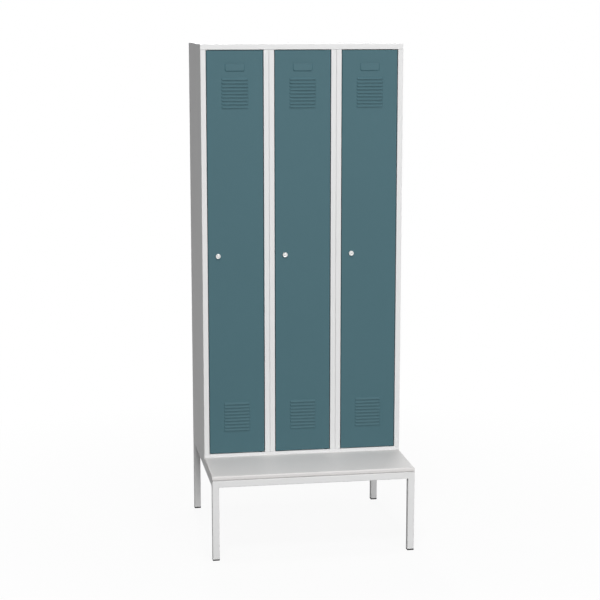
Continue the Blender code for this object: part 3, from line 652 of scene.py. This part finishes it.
def door_panel(width, height, lock_at, pivot_at):
    """Folded door tray with its louvres, card pocket, lock hole and pivot holes.

    Face on y = 0, lower edge on z = 0, middle on x = 0.
    """
    bm = block((-width / 2, 0.0, 0.0), (width / 2, DOOR_DEPTH, height))
    back = facing(bm, 1, 1)
    bmesh.ops.inset_region(bm, faces=back, thickness=DOOR_LIP, use_even_offset=True)
    bmesh.ops.delete(bm, geom=back, context="FACES_ONLY")
    bends = [
        edge
        for edge in bm.edges
        if edge.is_manifold and edge.calc_face_angle() > math.radians(BENT_FROM)
    ]
    rounded(bm, bends, FOLD, FOLD_STEPS)
    bmesh.ops.recalc_face_normals(bm, faces=bm.faces)
    for side in (-1, 1):
        flange = max(facing(bm, 2, side), key=lambda face: face.calc_area())
        level = 0.0 if side < 0 else height
        pin_hole = ring_at(bm, PIN_HOLE_RADIUS, (pivot_at.x, pivot_at.y, level), "Z")
        open_face(bm, flange, pin_hole)
    front = [max(facing(bm, 1, -1), key=lambda face: face.calc_area())]
    bmesh.ops.inset_region(bm, faces=front, thickness=FACE_MARGIN, use_even_offset=True)
    hood = louvre_hood()
    for middle in (LOWER_BANK_FROM_BOTTOM, height - UPPER_BANK_FROM_TOP):
        first = middle - (LOUVRES_PER_BANK - 1) / 2 * LOUVRE_PITCH
        for index in range(LOUVRES_PER_BANK):
            add_mesh(bm, hood, (0.0, 0.0, first + index * LOUVRE_PITCH))
    add_mesh(bm, card_pocket(), (0.0, 0.0, height - POCKET_FROM_TOP))
    outlines = open_edges_at(bm, 0.0)
    lock_hole = ring_at(bm, LOCK_HOLE_RADIUS, (lock_at.x, 0.0, lock_at.z), "Y")
    open_face(bm, front[0], outlines + lock_hole)
    face_out(bm)
    return as_mesh(bm, "door_panel")


def make_doors():
    for label in COMPARTMENTS:
        low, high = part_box(f"{label}_door")
        middle = (low.x + high.x) / 2
        face_y = high.y - DOOR_DEPTH
        corner = Vector((middle, face_y, low.z))
        lock_low, lock_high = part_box(f"{label}_lock_housing")
        pin_low, pin_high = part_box(f"{label}_lower_hinge_pin")
        lock_at = (lock_low + lock_high) / 2 - corner
        pivot_at = (pin_low + pin_high) / 2 - corner
        mesh = door_panel(high.x - low.x, high.z - low.z, lock_at, pivot_at)
        mesh.transform(Matrix.Translation(corner))
        item = piece(f"{label}_door_panel", mesh, "teal_paint", stands_for=f"{label}_door")
        thicken(item, SHEET, even=False)
        even_shading(item)


# Frame and bench


def tube_piece(node_name, axis):
    """Square tube with rounded corners along an axis. A leg keeps the plate on its top."""
    low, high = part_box(node_name)
    bm = block(low, high)
    rounded(bm, edges_along(bm, axis), TUBE_CORNER, CORNER_STEPS)
    ends = facing(bm, axis, -1)
    if axis != 2:
        ends += facing(bm, axis, 1)
    bmesh.ops.delete(bm, geom=ends, context="FACES_ONLY")
    mesh = as_mesh(bm, f"{node_name}_tube")
    item = piece(f"{node_name}_tube", mesh, "light_grey_paint", stands_for=node_name)
    thicken(item, TUBE_WALL)
    even_shading(item)


def foot_piece(node_name):
    """Black cap: a sole as wide as the tube, chamfered where it meets the floor, and its plug."""
    sole_low, sole_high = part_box(node_name)
    leg_low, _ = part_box(node_name.replace("foot", "leg"))
    sole_top = leg_low.z - PIECE_GAP
    bm = block(sole_low, (sole_high.x, sole_high.y, sole_top))
    rounded(bm, edges_along(bm, 2), TUBE_CORNER, CORNER_STEPS)
    under = facing(bm, 2, -1)[0].edges[:]
    rounded(bm, under, FOOT_CHAMFER, FOOT_STEPS)
    top = facing(bm, 2, 1)
    inset = TUBE_WALL + PIECE_GAP
    bmesh.ops.inset_region(bm, faces=top, thickness=inset, use_even_offset=True)
    plug = verts_of(bmesh.ops.extrude_face_region(bm, geom=top)["geom"])
    bmesh.ops.delete(bm, geom=top, context="FACES_ONLY")
    bmesh.ops.translate(bm, vec=(0.0, 0.0, sole_high.z - sole_top), verts=plug)
    bmesh.ops.recalc_face_normals(bm, faces=bm.faces)
    mesh = as_mesh(bm, f"{node_name}_cap")
    item = piece(f"{node_name}_cap", mesh, "black_plastic", stands_for=node_name)
    even_shading(item)


def weld(bm, low, high, axis, at):
    """Bead round the end of a rail: a plate across the tube with its rim rounded over."""
    low, high = low.copy(), high.copy()
    low[axis], high[axis] = at - WELD_WIDTH / 2, at + WELD_WIDTH / 2
    bead = block(low, high)
    rounded(bead, edges_along(bead, axis), TUBE_CORNER, CORNER_STEPS)
    rim = [edge for side in (-1, 1) for face in facing(bead, axis, side) for edge in face.edges]
    rounded(bead, rim, WELD_ROUND, WELD_STEPS)
    add_mesh(bm, as_mesh(bead, "weld"))


def frame_welds():
    """Welds where the rails meet the legs and the cross rail meets the side rails.

    A bead stands a little proud in the inner corners and is flush on the outer faces.
    """
    bm = bmesh.new()
    flush = Vector((0.0, 0.0, 0.0))
    below = Vector((0.0, 0.0, WELD_STAND))
    both_sides = Vector((0.0, WELD_STAND, 0.0))
    rails = (
        ("rail_front", 0, below, flush),
        ("rail_rear", 0, below, flush),
        ("rail_left", 1, below, flush),
        ("rail_right", 1, below, flush),
        ("rail_cross", 0, both_sides, both_sides),
    )
    for rail, axis, past_low, past_high in rails:
        low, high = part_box(rail)
        for at in (low[axis], high[axis]):
            weld(bm, low - past_low, high + past_high, axis, at)
    item = piece("frame_welds", as_mesh(bm, "frame_welds"), "light_grey_paint", body="locker")
    even_shading(item)


def board_piece():
    """Bench board with a rounded front edge and rounded ends."""
    low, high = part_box("seat_board")
    bm = block(low, high)
    level_edges = [
        edge
        for edge in bm.edges
        if abs(edge.verts[0].co.z - edge.verts[1].co.z) < HAIR
        and not all(vert.co.y > high.y - HAIR for vert in edge.verts)
    ]
    rounded(bm, level_edges, BOARD_ROUND, BOARD_STEPS)
    mesh = as_mesh(bm, "bench_board")
    item = piece("bench_board", mesh, "seat_laminate", stands_for="seat_board")
    even_shading(item)


def make_frame():
    for end in ("front", "rear"):
        for side in ("left", "right"):
            tube_piece(f"leg_{end}_{side}", 2)
            foot_piece(f"foot_{end}_{side}")
    for end in ("front", "rear", "cross"):
        tube_piece(f"rail_{end}", 0)
    for side in ("left", "right"):
        tube_piece(f"rail_{side}", 1)
    frame_welds()
    board_piece()


# Locks


def turned_piece(name, profile, centre, slot_name, stands_for):
    """Turn a profile of (radius, y) points about a line along Y through the centre."""
    bm = bmesh.new()
    verts = [bm.verts.new((radius, y, 0.0)) for radius, y in profile]
    edges = [bm.edges.new(pair) for pair in zip(verts, verts[1:])]
    if profile[0][0] > 0.0:
        edges.append(bm.edges.new((verts[-1], verts[0])))
    bmesh.ops.spin(
        bm,
        geom=verts + edges,
        cent=(0.0, 0.0, 0.0),
        axis=(0.0, 1.0, 0.0),
        angle=math.tau,
        steps=TURN_STEPS,
        use_merge=True,
    )
    bmesh.ops.remove_doubles(bm, verts=bm.verts, dist=HAIR)
    bmesh.ops.recalc_face_normals(bm, faces=bm.faces)
    bmesh.ops.translate(bm, vec=centre, verts=bm.verts)
    mesh = as_mesh(bm, name)
    return piece(name, mesh, slot_name, stands_for=stands_for)


def lock_head(label):
    """Lock housing: a round head with a softly rounded rim, and its body behind the face."""
    node_name = f"{label}_lock_housing"
    low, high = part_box(node_name)
    barrel_low, barrel_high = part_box(f"{label}_lock_barrel")
    face_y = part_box(f"{label}_door")[1].y - DOOR_DEPTH
    radius = (high.x - low.x) / 2
    bore = (barrel_high.x - barrel_low.x) / 2 + PIECE_GAP
    profile = [(bore, low.y + BORE_EDGE), (bore + BORE_EDGE, low.y)]
    for step in range(HEAD_STEPS + 1):
        angle = math.pi / 2 * step / HEAD_STEPS
        across = radius - HEAD_BEVEL * (1.0 - math.sin(angle))
        profile.append((across, low.y + HEAD_BEVEL * (1.0 - math.cos(angle))))
    profile += [
        (radius, face_y - PIECE_GAP),
        (LOCK_HOLE_RADIUS - PIECE_GAP, face_y - PIECE_GAP),
        (LOCK_HOLE_RADIUS - PIECE_GAP, high.y),
        (bore, high.y),
    ]
    centre = ((low.x + high.x) / 2, 0.0, (low.z + high.z) / 2)
    turned_piece(f"{label}_lock_head", profile, centre, "lock_chrome", node_name)


def lock_barrel(label):
    """Turning barrel with an upright key slot in its face and the tail that holds the cam."""
    node_name = f"{label}_lock_barrel"
    low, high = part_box(node_name)
    cam_low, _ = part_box(f"{label}_lock_cam")
    centre = (low + high) / 2
    radius = (high.x - low.x) / 2
    bm = bmesh.new()
    outline = ring_at(bm, radius - BARREL_EDGE, (centre.x, low.y, centre.z), "Y")
    half_width, half_height = KEY_SLOT[0] / 2, KEY_SLOT[1] / 2
    corners = [
        bm.verts.new((centre.x + x * half_width, low.y, centre.z + z * half_height))
        for x, z in ((-1, -1), (1, -1), (1, 1), (-1, 1))
    ]
    slot_edges = [bm.edges.new(pair) for pair in zip(corners, corners[1:] + corners[:1])]
    fill_sheet(bm, outline + slot_edges, (0.0, -1.0, 0.0))
    sunk = bmesh.ops.extrude_edge_only(bm, edges=slot_edges)["geom"]
    bmesh.ops.translate(bm, vec=(0.0, KEY_SLOT_DEPTH, 0.0), verts=verts_of(sunk))
    bmesh.ops.contextual_create(bm, geom=edges_of(sunk))
    tail = (high.x - low.x) / BARREL_WIDTH_TO_TAIL
    stations = (
        (radius, low.y + BARREL_EDGE),
        (radius, cam_low.y - PIECE_GAP),
        (tail, cam_low.y - PIECE_GAP),
        (tail, high.y),
    )
    reach = radius - BARREL_EDGE
    for across, y in stations:
        grown = bmesh.ops.extrude_edge_only(bm, edges=outline)["geom"]
        outline, verts = edges_of(grown), verts_of(grown)
        scale = across / reach
        about = Matrix.Translation(-Vector((centre.x, 0.0, centre.z)))
        bmesh.ops.scale(bm, vec=(scale, 1.0, scale), space=about, verts=verts)
        bmesh.ops.translate(bm, vec=(0.0, y - verts[0].co.y, 0.0), verts=verts)
        reach = across
    bmesh.ops.contextual_create(bm, geom=outline)
    bmesh.ops.recalc_face_normals(bm, faces=bm.faces)
    mesh = as_mesh(bm, f"{label}_lock_cylinder")
    item = piece(f"{label}_lock_cylinder", mesh, "lock_chrome", stands_for=node_name)
    even_shading(item)


def make_locks():
    for label in COMPARTMENTS:
        lock_head(label)
        lock_barrel(label)


# Folded body and small parts


def weld_mark():
    """Shallow round dimple that a spot weld leaves, facing +Y, with its rim in the plane y = 0."""
    bm = bmesh.new()
    bmesh.ops.create_circle(bm, cap_ends=True, segments=WELD_MARK_STEPS, radius=WELD_MARK_RADIUS)
    bmesh.ops.rotate(bm, matrix=Matrix.Rotation(-math.pi / 2, 3, "X"), verts=bm.verts)
    centre = bm.faces[:]
    for width_in, sunk in ((WELD_MARK_RIM, 0.0), (WELD_MARK_SLOPE, WELD_MARK_DEPTH)):
        bmesh.ops.inset_region(
            bm,
            faces=centre,
            thickness=width_in,
            depth=-sunk,
            use_boundary=True,
            use_even_offset=True,
        )
    return as_mesh(bm, "weld_mark")


def weld_mark_places(low, high):
    """Where the back panel is spot welded: to the flanges of the walls, the roof and the floor."""
    seams = []
    for label in COMPARTMENTS:
        for wall in ("latch_wall", "hinge_wall"):
            wall_low, wall_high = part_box(f"{label}_{wall}")
            outer = wall_low.x if wall == "latch_wall" else wall_high.x
            inward = 1.0 if wall == "latch_wall" else -1.0
            seams.append(outer + inward * WELD_MARK_INSET)
    rows = round((high.z - low.z) / WELD_MARK_PITCH)
    pitch = (high.z - low.z) / rows
    places = [(x, low.z + pitch * (row + 0.5)) for x in seams for row in range(rows)]
    flanges = (low.z + WELD_MARK_INSET, high.z - WELD_MARK_INSET)
    for left, right in zip(seams[::2], seams[1::2]):
        across = [left + (right - left) * share for share in WELD_MARK_SHARES]
        places += [(x, z) for x in across for z in flanges]
    return places


def back_panel_piece():
    """Flat back sheet with the marks of its spot welds."""
    low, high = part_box("back_panel")
    bm = block(low, high)
    back = facing(bm, 1, 1)[0]
    mark = weld_mark()
    for x, z in weld_mark_places(low, high):
        add_mesh(bm, mark, (x, high.y, z))
    open_face(bm, back, open_edges_at(bm, high.y))
    bmesh.ops.recalc_face_normals(bm, faces=bm.faces)
    mesh = as_mesh(bm, "back_panel_sheet", sharp_from=WELD_MARK_SHARP)
    item = piece("back_panel_sheet", mesh, "light_grey_paint", stands_for="back_panel")
    even_shading(item)


REST_FINISH = {
    "_wall": "light_grey_paint",
    "_hat_shelf": "light_grey_paint",
    "roof": "light_grey_paint",
    "floor": "light_grey_paint",
    "_door_stiffener": "teal_paint",
    "_coat_rail": "zinc_plated_steel",
    "_coat_hook": "zinc_plated_steel",
    "_hinge_pin": "zinc_plated_steel",
    "_lock_nut": "zinc_plated_steel",
    "_lock_cam": "zinc_plated_steel",
    "_hinge_washer": "black_plastic",
}


def make_rest():
    """Every other piece keeps its CAD shape, with its bends and turned faces shaded round."""
    for node_name in sorted(NODES):
        for ending, slot_name in REST_FINISH.items():
            if node_name.endswith(ending):
                mesh = as_mesh(merged_copy(node_name), f"{node_name}_finish")
                item = piece(f"{node_name}_finish", mesh, slot_name, stands_for=node_name)
                even_shading(item)


# Stage, lamps and camera


def make_floor():
    """Pale floor that keeps the shadows near the object and is pure white far from it."""
    bm = bmesh.new()
    bmesh.ops.create_grid(bm, x_segments=1, y_segments=1, size=FLOOR_REACH)
    mesh = bpy.data.meshes.new("studio_floor")
    bm.to_mesh(mesh)
    bm.free()
    item = bpy.data.objects.new("studio_floor", mesh)
    bpy.context.scene.collection.objects.link(item)
    material = bpy.data.materials.new("studio_floor_white")
    material.use_nodes = True
    tree = material.node_tree
    shader = tree.nodes["Principled BSDF"]
    shader.inputs["Roughness"].default_value = FLOOR_ROUGHNESS
    shader.inputs["Specular IOR Level"].default_value = 0.0
    glow = node(tree, "ShaderNodeEmission")
    place = node(tree, "ShaderNodeTexCoord").outputs["Object"]
    ring = node(tree, "ShaderNodeVectorMath", operation="LENGTH")
    link(tree, place, ring.inputs[0])
    white = ramp(tree, ring.outputs["Value"], WHITE_NEAR, WHITE_FAR, FADE_FROM, FADE_TO)
    path = node(tree, "ShaderNodeLightPath")
    seen = maths(tree, "MAXIMUM", path.outputs["Is Camera Ray"], path.outputs["Is Glossy Ray"])
    link(tree, ramp(tree, seen, FLOOR_BOUNCE, FLOOR_TONE), shader.inputs["Base Color"])
    blend = node(tree, "ShaderNodeMixShader")
    link(tree, maths(tree, "MULTIPLY", seen, white), blend.inputs["Fac"])
    link(tree, shader.outputs["BSDF"], blend.inputs[1])
    link(tree, glow.outputs["Emission"], blend.inputs[2])
    link(tree, blend.outputs["Shader"], tree.nodes["Material Output"].inputs["Surface"])
    mesh.materials.append(material)


def make_world():
    """White to the eye and in reflections, and a softer grey as light."""
    world = bpy.data.worlds.new("studio")
    world.use_nodes = True
    bpy.context.scene.world = world
    tree = world.node_tree
    background = tree.nodes["Background"]
    background.inputs["Color"].default_value = (1.0, 1.0, 1.0, 1.0)
    path = node(tree, "ShaderNodeLightPath")
    seen = maths(tree, "MAXIMUM", path.outputs["Is Camera Ray"], path.outputs["Is Glossy Ray"])
    seen = maths(tree, "MAXIMUM", seen, path.outputs["Is Transmission Ray"])
    link(tree, ramp(tree, seen, AMBIENT, 1.0), background.inputs["Strength"])


def softbox(name, location, size, power):
    data = bpy.data.lights.new(name, "AREA")
    data.shape = "RECTANGLE"
    data.size, data.size_y = size
    data.energy = power
    lamp = bpy.data.objects.new(name, data)
    bpy.context.scene.collection.objects.link(lamp)
    lamp.location = location
    aim = Vector(LAMPS_AIM) - Vector(location)
    lamp.rotation_euler = aim.to_track_quat("-Z", "Y").to_euler()


def make_camera():
    data = bpy.data.cameras.new("camera")
    data.sensor_width = CAMERA_SENSOR
    data.lens = CAMERA_LENS
    camera = bpy.data.objects.new("camera", data)
    bpy.context.scene.collection.objects.link(camera)
    camera.location = CAMERA_PLACE
    camera.rotation_euler = [math.radians(angle) for angle in CAMERA_ANGLES]
    bpy.context.scene.camera = camera


FINISHES = make_finishes()
make_camera()
make_doors()
make_frame()
make_locks()
back_panel_piece()
make_rest()
make_floor()
make_world()
for lamp in LAMPS:
    softbox(*lamp)
bpy.context.scene.view_settings.view_transform = "Standard"
